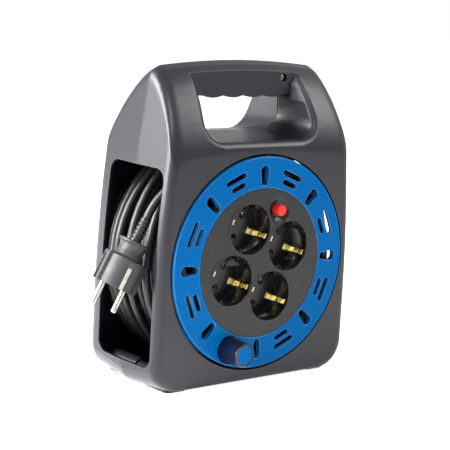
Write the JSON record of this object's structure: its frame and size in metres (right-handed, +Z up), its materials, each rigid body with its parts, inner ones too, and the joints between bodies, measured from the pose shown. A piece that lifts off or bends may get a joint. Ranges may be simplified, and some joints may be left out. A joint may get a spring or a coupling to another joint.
{
  "type": "extension cord reel",
  "caption": "Cassette cable reel: carrying case with handle, cranked drum with earthed sockets and a reset button, wound cable ending in a plug.",
  "frame": {"origin": "middle of the plane that the feet stand on, on the parting plane of the two case shells, below the drum axis", "axes": "+Z up, +X to the right seen from the front, -Y out of the front where the sockets are"},
  "size_m": [0.2468, 0.1205, 0.2655],
  "materials": {
    "casing_plastic": "fine-grained anthracite, satin",
    "blue_plastic": "smooth, half gloss",
    "black_plastic": "smooth, half gloss",
    "knob_plastic": "smooth, glossy",
    "red_plastic": "smooth, glossy",
    "carrier_plastic": "plain",
    "bridge_plastic": "plain",
    "cable_sheath": "smooth, slight sheen",
    "plug_rubber": "satin",
    "nickel": "nickel plated",
    "contact_brass": "stamped and bent",
    "screw_steel": "zinc plated",
    "brown_insulation": "smooth",
    "blue_insulation": "smooth",
    "earth_insulation": "smooth"
  },
  "bodies": {
    "casing": {"front_shell": "casing_plastic", "rear_shell": "casing_plastic", "case_screws": "screw_steel", "handle_screw": "screw_steel", "axle_washer": "screw_steel", "axle_screw": "screw_steel", "cable_lead": "cable_sheath", "bend_relief": "cable_sheath", "plug_body": "plug_rubber", "plug_bridge": "bridge_plastic", "plug_pins": "nickel", "plug_earth_strips": "nickel"},
    "drum": {"front_flange": "blue_plastic", "drum_barrel": "black_plastic", "drum_screws": "screw_steel", "socket_panel": "black_plastic", "contact_carrier": "carrier_plastic", "carrier_screws": "screw_steel", "live_busbar": "contact_brass", "neutral_busbar": "contact_brass", "earth_busbar": "contact_brass", "cutout_body": "bridge_plastic", "cutout_tabs": "contact_brass", "knob_pin": "screw_steel", "knob_screw": "screw_steel", "cord_clamp": "carrier_plastic", "clamp_screws": "screw_steel", "cable_tail": "cable_sheath", "live_wire": "brown_insulation", "cutout_wire": "brown_insulation", "neutral_wire": "blue_insulation", "earth_wire": "earth_insulation", "cable_winding": "cable_sheath"},
    "reset_button": {"reset_button": "red_plastic"},
    "knob": {"knob_sleeve": "knob_plastic", "knob_cap": "blue_plastic"}
  },
  "joints": [
    {"name": "drum_spin", "type": "hinge", "parent": "casing", "child": "drum", "pos_m": [0, 0, 0.102], "axis": [0, 1, 0], "continuous": true},
    {"name": "knob_spin", "type": "hinge", "parent": "drum", "child": "knob", "pos_m": [-0.02841, 0, 0.03167], "axis": [0, 1, 0], "continuous": true},
    {"name": "button_press", "type": "slide", "parent": "drum", "child": "reset_button", "axis": [0, 1, 0], "range_m": [0, 0.0025], "stiffness_N_per_m": 500}
  ]
}
